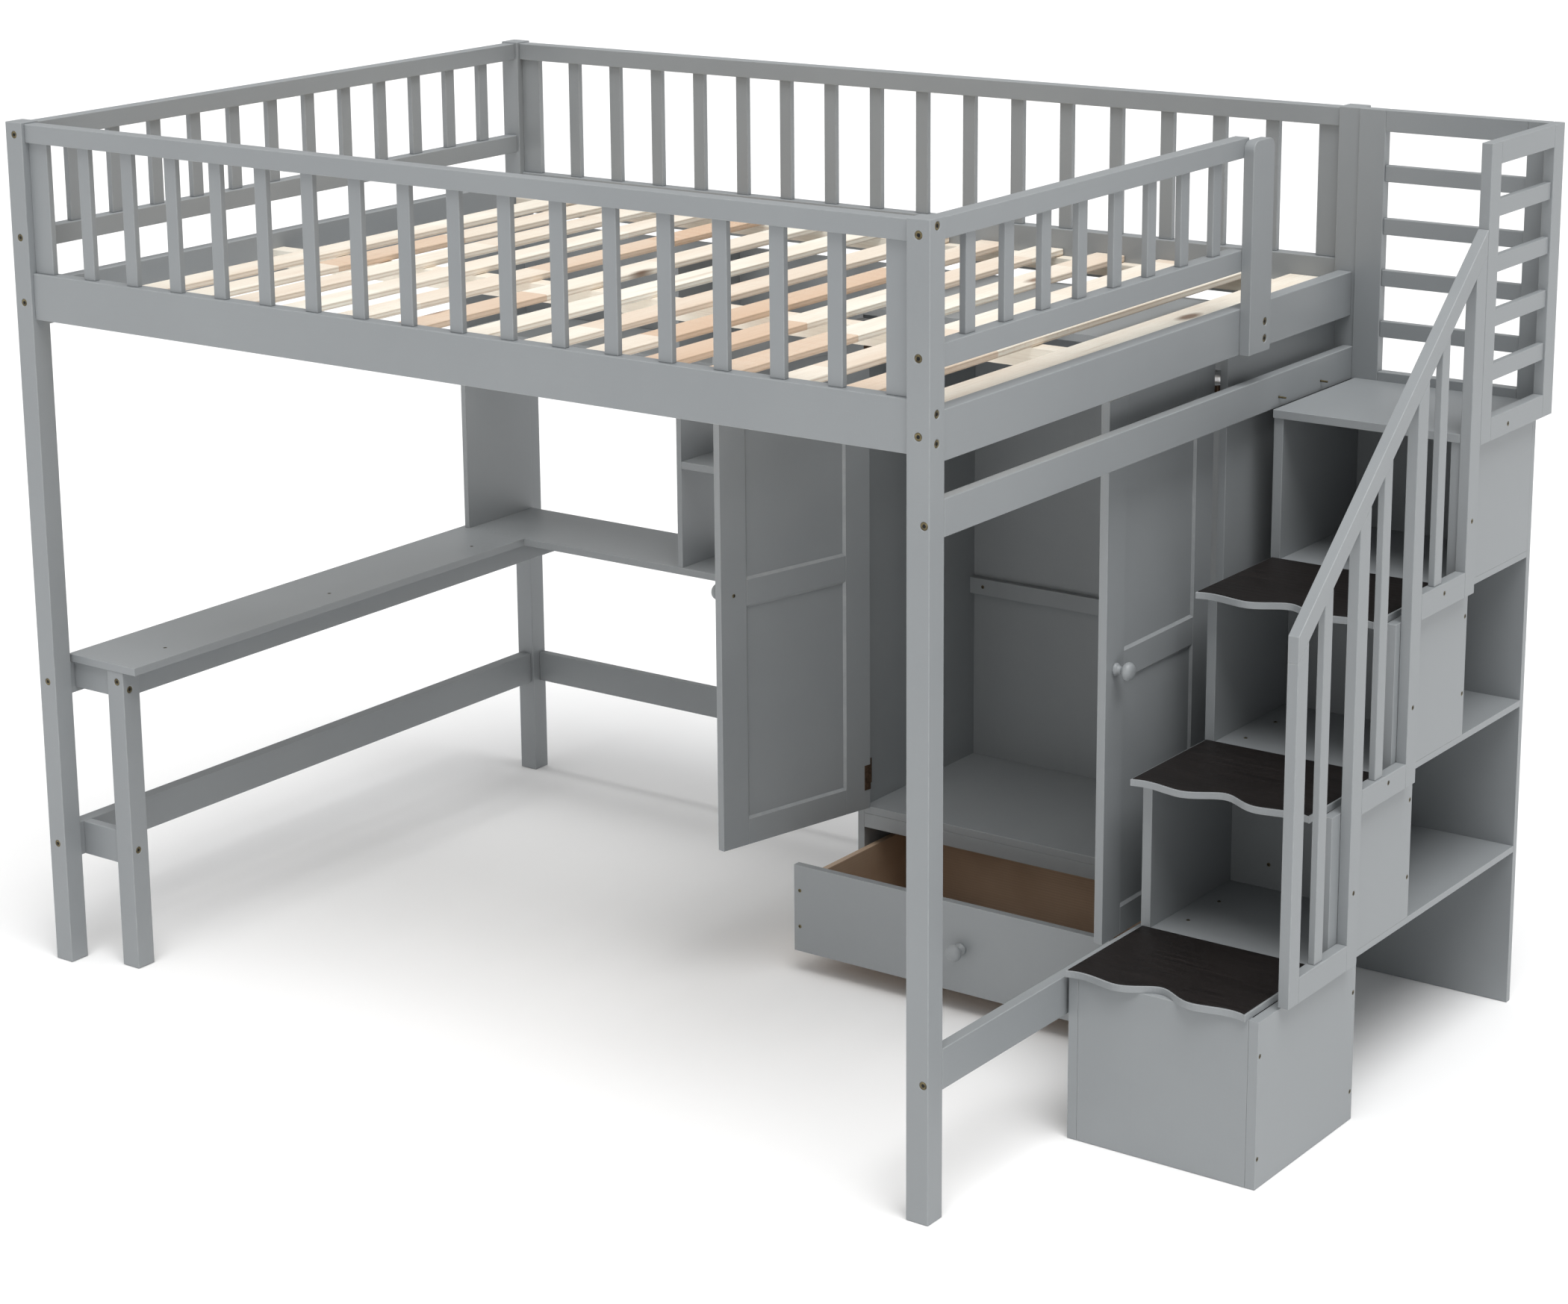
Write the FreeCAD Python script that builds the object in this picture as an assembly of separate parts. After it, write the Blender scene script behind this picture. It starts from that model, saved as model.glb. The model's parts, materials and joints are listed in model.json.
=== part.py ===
import FreeCAD, Part
import os

# Loft bed with an L-shaped desk, a wardrobe with a drawer, and storage stairs.
# Lengths are in millimetres. While modelling, the origin is the outer front left floor corner of the bed,
# +X to the right, +Y to the back, +Z up. save() moves everything to the middle of the footprint.

# ---- joints between boards of one frame ----
JOINT = 0.3

# ---- bed frame ----
BED_LENGTH = 2010.0
BED_DEPTH = 1450.0
POST = 42.0
POST_HEIGHT = 1627.0
RAIL = 28.0
SETBACK = 7.0
SIDE_RAIL_Z = (1262.0, 1348.0)
END_RAIL_Z = (1247.0, 1328.0)
TOP_RAIL_Z = (1590.0, 1624.0)
LEFT_MID_RAIL_Z = (1392.0, 1428.0)
RIGHT_MID_RAIL_Z = (1393.0, 1431.0)
BALUSTER_WIDE = 28.0
BALUSTER_THICK = 12.0
LONG_BALUSTERS = 16
LONG_BALUSTER_START = 183.0
LONG_BALUSTER_PITCH = 109.6
GUARD_STILE = 47.0
LEFT_BALUSTERS = 12
LEFT_BALUSTER_START = 138.0
LEFT_BALUSTER_PITCH = 106.7
RIGHT_BALUSTERS = 8
RIGHT_BALUSTER_START = 137.0
RIGHT_BALUSTER_PITCH = 110.6
ENTRY_POST_Y = (985.0, 1060.0)
ENTRY_POST_Z = (1247.0, 1620.0)
ENTRY_POST_THICK = 20.0
HIGH_STRETCHER_Z = (1130.0, 1191.0)
LOW_STRETCHER_Z = (220.0, 290.0)
STRETCHER = 20.0

# ---- slats and their supports ----
SLAT_LEFT_EDGES = (150, 265, 375, 505, 640, 785, 925, 1070, 1205, 1330, 1465, 1600, 1735, 1875)
SLAT_WIDE = 62.0
SLAT_THICK = 14.0
SLAT_TOP = 1311.0
CLEAT = 25.0
BEAM_Y = (643.0, 678.0)

# ---- desk ----
DESK_TOP_Z = (593.0, 608.0)
DESK_LEFT_X = (30.0, 208.0)
DESK_FRONT_Y = 48.0
DESK_BACK_Y = 1406.0
DESK_BACK_RUN_Y = 1190.0
DESK_RAIL_Z = (540.0, 593.0)
LEG_X = (131.0, 173.0)
LEG_Y = (50.0, 92.0)
LEFT_LOW_RAIL_Z = (204.0, 270.0)
BACK_LOW_RAIL_Z = (204.0, 269.0)
HUTCH_TOP = 1245.0
HUTCH_BOARD = 12.0
HUTCH_DIVIDER_X = 617.0
HUTCH_LOWER_Z = 817.0
HUTCH_UPPER_Z = 1030.0
HUTCH_BACK = 6.0

# ---- wardrobe ----
WARDROBE_X = (1190.0, 1972.0)
WARDROBE_Y = (1005.0, 1408.0)
WARDROBE_TOP = 1245.0
BOARD = 15.0
BACK_BOARD = 13.0
FLOOR_TOP = 262.0
FRONT_RAIL_BOTTOM = 218.0
INNER_RAIL_Z = (602.0, 635.0)
ROD_RADIUS = 12.5
ROD_CUP_RADIUS = 24.0
ROD_CUP = 8.0
ROD_Y = 1205.0
ROD_Z = 1150.0

# ---- doors ----
DOOR_THICK = 16.0
DOOR_Z = (265.0, 1226.0)
DOOR_SIDE_GAP = 3.0
DOOR_MEETING_GAP = 3.0
DOOR_STILE = 62.0
DOOR_RAIL = 50.0
DOOR_MID_RAIL_Z = (730.0, 780.0)
DOOR_PANEL_THICK = 7.0
LEFT_DOOR_OPEN = 103.0
RIGHT_DOOR_OPEN = 91.0
DOOR_KNOB_Z = 755.0
DOOR_KNOB_INSET = 31.0
KNOB_RADIUS = 16.0
KNOB_LENGTH = 36.0
HINGE_HEIGHTS = (328.0, 1160.0)
HINGE_HALF = 25.0
HINGE_KNUCKLE = 3.5
HINGE_PIN = 1.5
HINGE_RUNNING_GAP = 0.05
HINGE_LEAF = 1.2
HINGE_AXIS_FORWARD = 5.0

# ---- drawer ----
DRAWER_FRONT_Z = (42.0, 214.0)
DRAWER_FRONT_X = (1207.5, 1954.5)
DRAWER_FRONT_THICK = 16.0
DRAWER_OPEN = 240.0
DRAWER_SIDE_X = (1218.0, 1944.0)
DRAWER_SIDE = 12.0
DRAWER_SIDE_Z = (50.0, 186.0)
DRAWER_LENGTH = 352.0
DRAWER_BOTTOM_Z = (54.0, 60.0)
DRAWER_KNOB_X = 1581.0
DRAWER_KNOB_Z = 128.0
RUNNER_Z = (28.0, 48.5)

# ---- stairs ----
STAIR_X = (2017.0, 2371.0)
STAIR_PANEL = 18.0
STAIR_BACK_Y = 1404.0
STAIR_BACK_PANEL = 14.0
LEVEL_TOPS = (305.0, 583.0, 862.0, 1133.0)
LEVEL_FRONTS = (417.0, 655.0, 868.0, 1095.0)
LEVEL_PANEL_BACKS = (762.0, 955.0, 1148.0, 1404.0)
TREAD_THICK = 12.0
PLATFORM_THICK = 15.0
TREAD_NOSE = 45.0
FIRST_TREAD_NOSE = 12.0
TREAD_RIGHT = 2352.0
COVER_THICK = 1.5
COVER_MARGIN = 3.0
WAVE = ((0.0, 0.0), (0.20, -1.0), (0.30, -5.0), (0.41, 12.0), (0.50, 25.0),
        (0.59, 12.0), (0.70, -5.0), (0.80, -1.0), (1.0, 0.0))

# ---- banister and platform guards ----
BANISTER_X = (2371.3, 2391.0)
BANISTER_POSTS_Y = ((480.0, 515.0), (685.0, 722.0), (885.0, 922.0), (1090.0, 1128.0))
BANISTER_POST_BOTTOMS = (298.0, 298.0, 562.0, 848.0)
BANISTER_BALUSTERS_Y = (589.0, 789.0, 990.0)
BOTTOM_RAILS_Z = ((298.0, 343.0), (562.0, 605.0), (848.0, 893.0))
HANDRAIL_START = (480.0, 927.0)
HANDRAIL_END_Y = 1128.0
HANDRAIL_SLOPE = 0.856
HANDRAIL_DEEP = 45.0
PLATFORM_GUARD_Y = (1129.0, 1424.0)
PLATFORM_GUARD_TOP = 1627.0
PLATFORM_GUARD_BOTTOM = 1109.0
PLATFORM_STILE = 40.0
PLATFORM_BACK_STILE_X = (2010.0, 2062.0)
PLATFORM_SLATS_Z = (1228.0, 1322.0, 1416.0, 1512.0)
PLATFORM_SLAT = 30.0
PLATFORM_SLAT_THICK = 12.0

# ---- fasteners ----
BOLT_HEAD = 6.5
BOLT_HEAD_DEEP = 5.0
BOLT_SHANK = 3.0
BOLT_SINK = 1.0
BOLT_LENGTH = 70.0
SCREW_HEAD = 3.6
SCREW_HEAD_DEEP = 2.5
SCREW_SHANK = 1.8
SCREW_SINK = 0.4
SCREW_LENGTH = 33.0
FASTENER_GAP = 0.4

CENTRE = FreeCAD.Vector(-0.5 * BANISTER_X[1], -0.5 * BED_DEPTH, 0)


# ---------------------------------------------------------------- helpers

def box(x, y, z):
    """Box from three (low, high) pairs."""
    corner = FreeCAD.Vector(x[0], y[0], z[0])
    return Part.makeBox(x[1] - x[0], y[1] - y[0], z[1] - z[0], corner)


def around(middle, width):
    """The (low, high) pair of a given width about a middle value."""
    return (middle - width / 2, middle + width / 2)


def prism_x(points, x):
    """Solid with a (y, z) outline, running between two X values."""
    outline = [FreeCAD.Vector(x[0], y, z) for y, z in points]
    face = Part.Face(Part.makePolygon(outline + outline[:1]))
    return face.extrude(FreeCAD.Vector(x[1] - x[0], 0, 0))


def mirrored(shape, x_middle):
    """Copy of a shape mirrored left to right about a plane of constant X."""
    return shape.mirror(FreeCAD.Vector(x_middle, 0, 0), FreeCAD.Vector(1, 0, 0))


def turned(shape, x, y, degrees):
    """Copy of a shape turned about a vertical axis."""
    copy = shape.copy()
    copy.rotate(FreeCAD.Vector(x, y, 0), FreeCAD.Vector(0, 0, 1), degrees)
    return copy


def knob(x, y, z):
    """Round mushroom knob that stands on a face at y and points to the front."""
    profile = [(0, 0), (11.0, 0), (11.0, 4.0), (7.0, 9.0), (6.5, 13.0), (11.0, 17.5), (KNOB_RADIUS - 1, 21.0),
               (KNOB_RADIUS, 25.5), (KNOB_RADIUS - 2, 31.0), (8.5, KNOB_LENGTH - 1), (0, KNOB_LENGTH)]
    points = [FreeCAD.Vector(x + radius, y - out, z) for radius, out in profile]
    face = Part.Face(Part.makePolygon(points + points[:1]))
    return face.revolve(FreeCAD.Vector(x, y, z), FreeCAD.Vector(0, 1, 0), 360)


# ---------------------------------------------------------------- bed

def corner_posts():
    left = (0, POST)
    right = (BED_LENGTH - POST, BED_LENGTH)
    front = (0, POST)
    back = (BED_DEPTH - POST, BED_DEPTH)
    tall = (0, POST_HEIGHT)
    return {
        "post_front_left": [box(left, front, tall)],
        "post_front_right": [box(right, front, tall)],
        "post_back_left": [box(left, back, tall)],
        "post_back_right": [box(right, back, tall)],
    }


def bed_and_guard_rails():
    span_x = (POST, BED_LENGTH - POST)
    span_y = (POST, BED_DEPTH - POST)
    front = (SETBACK, SETBACK + RAIL)
    back = (BED_DEPTH - SETBACK - RAIL, BED_DEPTH - SETBACK)
    left = (SETBACK, SETBACK + RAIL)
    right = (BED_LENGTH - SETBACK - RAIL, BED_LENGTH - SETBACK)
    to_entry = (POST, ENTRY_POST_Y[0] + 20)
    return {
        "front_bed_rail": [box(span_x, front, SIDE_RAIL_Z)],
        "back_bed_rail": [box(span_x, back, SIDE_RAIL_Z)],
        "end_bed_rails": [box(left, span_y, END_RAIL_Z), box(right, span_y, END_RAIL_Z)],
        "long_guard_rails": [box(span_x, front, TOP_RAIL_Z), box(span_x, back, TOP_RAIL_Z)],
        "end_guard_rails": [box(left, span_y, TOP_RAIL_Z), box(left, span_y, LEFT_MID_RAIL_Z),
                            box(right, to_entry, TOP_RAIL_Z), box(right, to_entry, RIGHT_MID_RAIL_Z)],
    }


def guard_balusters():
    front = around(SETBACK + RAIL / 2, BALUSTER_THICK)
    back = around(BED_DEPTH - SETBACK - RAIL / 2, BALUSTER_THICK)
    left = around(SETBACK + RAIL / 2, BALUSTER_THICK)
    right = around(BED_LENGTH - SETBACK - RAIL / 2, BALUSTER_THICK)
    long_z = (SIDE_RAIL_Z[1], TOP_RAIL_Z[0])
    long_side = []
    for i in range(LONG_BALUSTERS):
        x = around(LONG_BALUSTER_START + i * LONG_BALUSTER_PITCH, BALUSTER_WIDE)
        long_side += [box(x, front, long_z), box(x, back, long_z)]
    stiles = []
    for x in ((POST, POST + GUARD_STILE), (BED_LENGTH - POST - GUARD_STILE, BED_LENGTH - POST)):
        stiles += [box(x, front, long_z), box(x, back, long_z)]
    ends = []
    for i in range(LEFT_BALUSTERS):
        y = around(LEFT_BALUSTER_START + i * LEFT_BALUSTER_PITCH, BALUSTER_WIDE)
        ends.append(box(left, y, (LEFT_MID_RAIL_Z[1], TOP_RAIL_Z[0])))
    for i in range(RIGHT_BALUSTERS):
        y = around(RIGHT_BALUSTER_START + i * RIGHT_BALUSTER_PITCH, BALUSTER_WIDE)
        ends.append(box(right, y, (RIGHT_MID_RAIL_Z[1], TOP_RAIL_Z[0])))
    return {"long_guard_balusters": long_side, "long_guard_stiles": stiles, "end_guard_balusters": ends}


def entry_post():
    """Upright board that ends the right guard, with a rounded top."""
    x = (BED_LENGTH - SETBACK, BED_LENGTH - SETBACK + ENTRY_POST_THICK)
    board = box(x, ENTRY_POST_Y, ENTRY_POST_Z)
    top_edges = [edge for edge in board.Edges
                 if edge.BoundBox.ZMin > ENTRY_POST_Z[1] - 1 and edge.BoundBox.XLength > 1]
    return {"entry_post": [board.makeFillet(18.0, top_edges)]}


def stretchers():
    span_y = (POST, BED_DEPTH - POST)
    outer = (BED_LENGTH - STRETCHER, BED_LENGTH)
    left = (SETBACK, SETBACK + RAIL)
    back = (BED_DEPTH - STRETCHER, BED_DEPTH - 2)
    return {
        "right_end_stretchers": [box(outer, span_y, HIGH_STRETCHER_Z), box(outer, span_y, LOW_STRETCHER_Z)],
        "left_end_stretchers": [box(left, span_y, (DESK_RAIL_Z[0] - 10, DESK_TOP_Z[0])),
                                box(left, span_y, LEFT_LOW_RAIL_Z)],
        "back_stretcher": [box((POST, BED_LENGTH - POST), back, BACK_LOW_RAIL_Z)],
    }


def slats_and_supports():
    inner_front = SETBACK + RAIL
    inner_back = BED_DEPTH - SETBACK - RAIL
    slat_z = (SLAT_TOP - SLAT_THICK, SLAT_TOP)
    cleat_z = (slat_z[0] - CLEAT, slat_z[0])
    span_x = (POST + 1, BED_LENGTH - POST - 1)
    slats = [box((x, x + SLAT_WIDE), (inner_front + 1, inner_back - 1), slat_z) for x in SLAT_LEFT_EDGES]
    supports = [
        box(span_x, (inner_front, inner_front + CLEAT), cleat_z),
        box(span_x, (inner_back - CLEAT, inner_back), cleat_z),
        box((SETBACK + RAIL, BED_LENGTH - SETBACK - RAIL), BEAM_Y, (slat_z[0] - 35, slat_z[0])),
    ]
    return {"bed_slats": slats, "slat_supports": supports}


# ---------------------------------------------------------------- desk

def desk():
    wardrobe_side = WARDROBE_X[0]
    rail_y = (LEG_Y[0] + SETBACK, LEG_Y[0] + SETBACK + STRETCHER)
    apron_x = (LEG_X[1] - SETBACK - STRETCHER, LEG_X[1] - SETBACK)
    inner_left = SETBACK + RAIL
    left_run = box(DESK_LEFT_X, (DESK_FRONT_Y, DESK_BACK_RUN_Y - JOINT), DESK_TOP_Z)
    back_run = box((DESK_LEFT_X[0], wardrobe_side), (DESK_BACK_RUN_Y, DESK_BACK_Y), DESK_TOP_Z)
    rails = [
        box(apron_x, (LEG_Y[1], DESK_BACK_Y - 60), DESK_RAIL_Z),
        box((inner_left, LEG_X[0]), rail_y, DESK_RAIL_Z),
        box((inner_left, LEG_X[0]), rail_y, LEFT_LOW_RAIL_Z),
        box((inner_left, wardrobe_side), (DESK_BACK_Y - 60, DESK_BACK_Y - 40), DESK_RAIL_Z),
    ]
    return {
        "desk_top_left": [left_run],
        "desk_top_back": [back_run],
        "desk_leg": [box(LEG_X, LEG_Y, (0, DESK_TOP_Z[0]))],
        "desk_rails": rails,
    }


def hutch():
    """Side panel, divider, long upper shelf with a back board above it, and the shelf below it by the wardrobe."""
    front = DESK_BACK_RUN_Y + 2
    tall = (DESK_TOP_Z[1], HUTCH_TOP)
    side_x = (POST, POST + HUTCH_BOARD)
    divider_x = (HUTCH_DIVIDER_X, HUTCH_DIVIDER_X + HUTCH_BOARD)
    desk_bay = (side_x[1] + JOINT, divider_x[0] - JOINT)
    shelf_bay = (divider_x[1] + JOINT, WARDROBE_X[0] - JOINT)
    upper = (HUTCH_UPPER_Z, HUTCH_UPPER_Z + BOARD)
    lower = (HUTCH_LOWER_Z, HUTCH_LOWER_Z + BOARD)
    back_z = (upper[1] + JOINT, HUTCH_TOP)
    back_y = (DESK_BACK_Y - HUTCH_BACK, DESK_BACK_Y)
    return {
        "hutch_uprights": [box(x, (front, DESK_BACK_Y), tall) for x in (side_x, divider_x)],
        "hutch_shelves": [box(desk_bay, (front, DESK_BACK_Y), upper), box(shelf_bay, (front, DESK_BACK_Y), upper),
                          box(shelf_bay, (front, DESK_BACK_Y), lower)],
        "hutch_back_boards": [box(bay, back_y, back_z) for bay in (desk_bay, shelf_bay)],
    }


# ---------------------------------------------------------------- wardrobe

def wardrobe():
    left = (WARDROBE_X[0], WARDROBE_X[0] + BOARD)
    right = (WARDROBE_X[1] - BOARD, WARDROBE_X[1])
    inside = (left[1], right[0])
    front, back = WARDROBE_Y
    back_face = back - BACK_BOARD
    rail_y = (back_face - BOARD, back_face)
    door_back = front + DOOR_THICK
    rod_axis = FreeCAD.Vector(1, 0, 0)
    rod_start = FreeCAD.Vector(inside[0] + ROD_CUP, ROD_Y, ROD_Z)
    rod = Part.makeCylinder(ROD_RADIUS, inside[1] - inside[0] - 2 * ROD_CUP, rod_start, rod_axis)
    cups = [Part.makeCylinder(ROD_CUP_RADIUS, ROD_CUP, FreeCAD.Vector(x, ROD_Y, ROD_Z), rod_axis)
            for x in (inside[0], inside[1] - ROD_CUP)]
    runners = [box(x, (door_back + 2, back_face), RUNNER_Z)
               for x in ((inside[0], inside[0] + 26), (inside[1] - 26, inside[1]))]
    return {
        "wardrobe_sides": [box(left, WARDROBE_Y, (0, WARDROBE_TOP)), box(right, WARDROBE_Y, (0, WARDROBE_TOP))],
        "wardrobe_back": [box(inside, (back_face, back), (DRAWER_FRONT_Z[0], WARDROBE_TOP))],
        "wardrobe_top": [box(inside, (front, back_face), (WARDROBE_TOP - BOARD, WARDROBE_TOP))],
        "wardrobe_floor": [box(inside, (front, back_face), (FLOOR_TOP - BOARD, FLOOR_TOP)),
                           box(inside, (front, front + BOARD), (FRONT_RAIL_BOTTOM, FLOOR_TOP - BOARD - JOINT))],
        "wardrobe_back_rail": [box(inside, rail_y, INNER_RAIL_Z)],
        "hanging_rod": [rod] + cups,
        "drawer_runners": runners,
    }


def hinge_axis():
    """X and Y of the left door's hinge pin."""
    return (WARDROBE_X[0] + BOARD + DOOR_SIDE_GAP / 2, WARDROBE_Y[0] - HINGE_AXIS_FORWARD)


def hinge_leaves(height):
    """Fixed leaf with its pin, and moving leaf, of one butt hinge of the left door, door closed."""
    x, y = hinge_axis()
    panel_face = WARDROBE_X[0] + BOARD
    door_face = panel_face + DOOR_SIDE_GAP
    clear = y + HINGE_KNUCKLE + 0.3
    low = (height - HINGE_HALF, height - 8.0)
    middle = (height - 7.7, height + 7.7)
    high = (height + 8.0, height + HINGE_HALF)
    whole = (low[0], high[1])
    up = FreeCAD.Vector(0, 0, 1)

    def barrel(radius, z):
        return Part.makeCylinder(radius, z[1] - z[0], FreeCAD.Vector(x, y, z[0]), up)

    fixed_x = (panel_face, panel_face + HINGE_LEAF)
    fixed = box(fixed_x, (clear, WARDROBE_Y[0] + 24), whole)
    for z in (low, high):
        fixed = fixed.fuse(box(fixed_x, (y, clear + 1), z)).fuse(barrel(HINGE_KNUCKLE, z))
    fixed = fixed.fuse(barrel(HINGE_PIN, whole)).removeSplitter()

    moving_x = (door_face - HINGE_LEAF, door_face)
    knuckle = barrel(HINGE_KNUCKLE, middle)
    moving = box(moving_x, (clear, WARDROBE_Y[0] + DOOR_THICK), whole)
    moving = moving.fuse(box(moving_x, (y + 1.0, clear + 1), middle)).fuse(knuckle)
    moving = moving.cut(barrel(HINGE_PIN + HINGE_RUNNING_GAP, whole)).removeSplitter()
    return fixed, moving


def closed_left_door():
    """Frame, recessed panels and knob of the left door, closed."""
    middle_x = (WARDROBE_X[0] + WARDROBE_X[1]) / 2
    x = (WARDROBE_X[0] + BOARD + DOOR_SIDE_GAP, middle_x - DOOR_MEETING_GAP / 2)
    y = (WARDROBE_Y[0], WARDROBE_Y[0] + DOOR_THICK)
    inner_x = (x[0] + DOOR_STILE, x[1] - DOOR_STILE)
    low_z, high_z = DOOR_Z
    rail_x = (inner_x[0] + JOINT, inner_x[1] - JOINT)
    frame = [
        box((x[0], inner_x[0]), y, DOOR_Z),
        box((inner_x[1], x[1]), y, DOOR_Z),
        box(rail_x, y, (low_z, low_z + DOOR_RAIL)),
        box(rail_x, y, DOOR_MID_RAIL_Z),
        box(rail_x, y, (high_z - DOOR_RAIL, high_z)),
    ]
    panel_y = around((y[0] + y[1]) / 2, DOOR_PANEL_THICK)
    panels = [
        box(inner_x, panel_y, (low_z + DOOR_RAIL, DOOR_MID_RAIL_Z[0])),
        box(inner_x, panel_y, (DOOR_MID_RAIL_Z[1], high_z - DOOR_RAIL)),
    ]
    return frame, panels, knob(x[1] - DOOR_KNOB_INSET, y[0], DOOR_KNOB_Z)


def doors():
    """Both doors in their open rest positions, and the fixed halves of their hinges."""
    frame, panels, round_knob = closed_left_door()
    pairs = [hinge_leaves(height) for height in HINGE_HEIGHTS]
    fixed = [pair[0] for pair in pairs]
    moving = [pair[1] for pair in pairs]
    middle_x = (WARDROBE_X[0] + WARDROBE_X[1]) / 2
    pin_x, pin_y = hinge_axis()
    closed = {"door_frame": frame, "door_panels": panels, "door_knob": [round_knob], "door_hinge_leaves": moving}
    nodes = {"hinge_frame_leaves": fixed + [mirrored(leaf, middle_x) for leaf in fixed]}
    for name, shapes in closed.items():
        nodes["left_" + name] = [turned(shape, pin_x, pin_y, -LEFT_DOOR_OPEN) for shape in shapes]
        nodes["right_" + name] = [turned(mirrored(shape, middle_x), 2 * middle_x - pin_x, pin_y, RIGHT_DOOR_OPEN)
                                  for shape in shapes]
    return nodes


def drawer():
    """Drawer pulled out to its rest position."""
    front_y = WARDROBE_Y[0] - DRAWER_OPEN
    box_y = front_y + DRAWER_FRONT_THICK
    end_y = box_y + DRAWER_LENGTH
    left = (DRAWER_SIDE_X[0], DRAWER_SIDE_X[0] + DRAWER_SIDE)
    right = (DRAWER_SIDE_X[1] - DRAWER_SIDE, DRAWER_SIDE_X[1])
    inside = (left[1], right[0])
    walls = [
        box(left, (box_y, end_y), DRAWER_SIDE_Z),
        box(right, (box_y, end_y), DRAWER_SIDE_Z),
        box((inside[0] + JOINT, inside[1] - JOINT), (end_y - DRAWER_SIDE, end_y), DRAWER_SIDE_Z),
    ]
    return {
        "drawer_front": [box(DRAWER_FRONT_X, (front_y, box_y), DRAWER_FRONT_Z)],
        "drawer_box": walls,
        "drawer_bottom": [box(inside, (box_y, end_y - DRAWER_SIDE), DRAWER_BOTTOM_Z)],
        "drawer_knob": [knob(DRAWER_KNOB_X, front_y, DRAWER_KNOB_Z)],
    }


# ---------------------------------------------------------------- stairs

def wavy_board(front, back, x, z, inset=0.0):
    """Board with a waved front edge; inset pulls every edge but the back in."""
    x = (x[0] + inset, x[1] - inset)
    points = [FreeCAD.Vector(x[0] + part * (x[1] - x[0]), front + inset + depth, z[0]) for part, depth in WAVE]
    curve = Part.BSplineCurve()
    curve.interpolate(points)
    corners = [points[-1], FreeCAD.Vector(x[1], back, z[0]), FreeCAD.Vector(x[0], back, z[0]), points[0]]
    outline = Part.Wire([curve.toShape()] + [Part.makeLine(a, b) for a, b in zip(corners, corners[1:])])
    return Part.Face(outline).extrude(FreeCAD.Vector(0, 0, z[1] - z[0]))


def treads():
    boards = []
    covers = []
    for step in range(3):
        top = LEVEL_TOPS[step]
        nose = FIRST_TREAD_NOSE if step == 0 else TREAD_NOSE
        front = LEVEL_FRONTS[step] - nose
        back = LEVEL_FRONTS[step + 1]
        x = (STAIR_X[0], TREAD_RIGHT)
        boards.append(wavy_board(front, back, x, (top - TREAD_THICK, top)))
        covers.append(wavy_board(front, back, x, (top, top + COVER_THICK), COVER_MARGIN))
    return {"stair_treads": boards, "tread_covers": covers}


def stair_case():
    """Side panels, partitions, shelf boards, back panel and platform of the stairs."""
    left_x = (STAIR_X[0], STAIR_X[0] + STAIR_PANEL)
    right_x = (STAIR_X[1] - STAIR_PANEL, STAIR_X[1])
    inside = (left_x[1] + JOINT, right_x[0] - JOINT)
    back_face = STAIR_BACK_Y - STAIR_BACK_PANEL
    left_panels = []
    right_panels = []
    partitions = [box(inside, (LEVEL_FRONTS[0], LEVEL_FRONTS[0] + BOARD), (0, LEVEL_TOPS[0] - TREAD_THICK))]
    shelves = []
    for step in range(4):
        floor = 0.0 if step == 0 else LEVEL_TOPS[step - 1]
        under = LEVEL_TOPS[step] - (PLATFORM_THICK if step == 3 else TREAD_THICK)
        front = LEVEL_FRONTS[step]
        panel_back = min(LEVEL_PANEL_BACKS[step], back_face)
        left_panels.append(box(left_x, (front, back_face), (floor, under)))
        right_panels.append(box(right_x, (front, panel_back), (floor, under)))
        if step < 3:
            partitions.append(box(inside, (panel_back - BOARD, panel_back), (floor, under)))
            shelf_x = (STAIR_X[0], STAIR_X[1])
            shelves.append(box(shelf_x, (LEVEL_FRONTS[step + 1], back_face), (under, LEVEL_TOPS[step])))
    platform = box(STAIR_X, (LEVEL_FRONTS[3] - 5, back_face), (LEVEL_TOPS[3] - PLATFORM_THICK, LEVEL_TOPS[3]))
    return {
        "stair_left_panels": left_panels,
        "stair_right_panels": right_panels,
        "stair_partitions": partitions,
        "stair_shelf_boards": shelves + [platform],
        "stair_back_panel": [box(STAIR_X, (back_face, STAIR_BACK_Y), (0, LEVEL_TOPS[3]))],
    }


def handrail_bottom(y):
    """Height of the handrail's underside at a distance y from the front."""
    return HANDRAIL_START[1] + (y - HANDRAIL_START[0]) * HANDRAIL_SLOPE - HANDRAIL_DEEP


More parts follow.
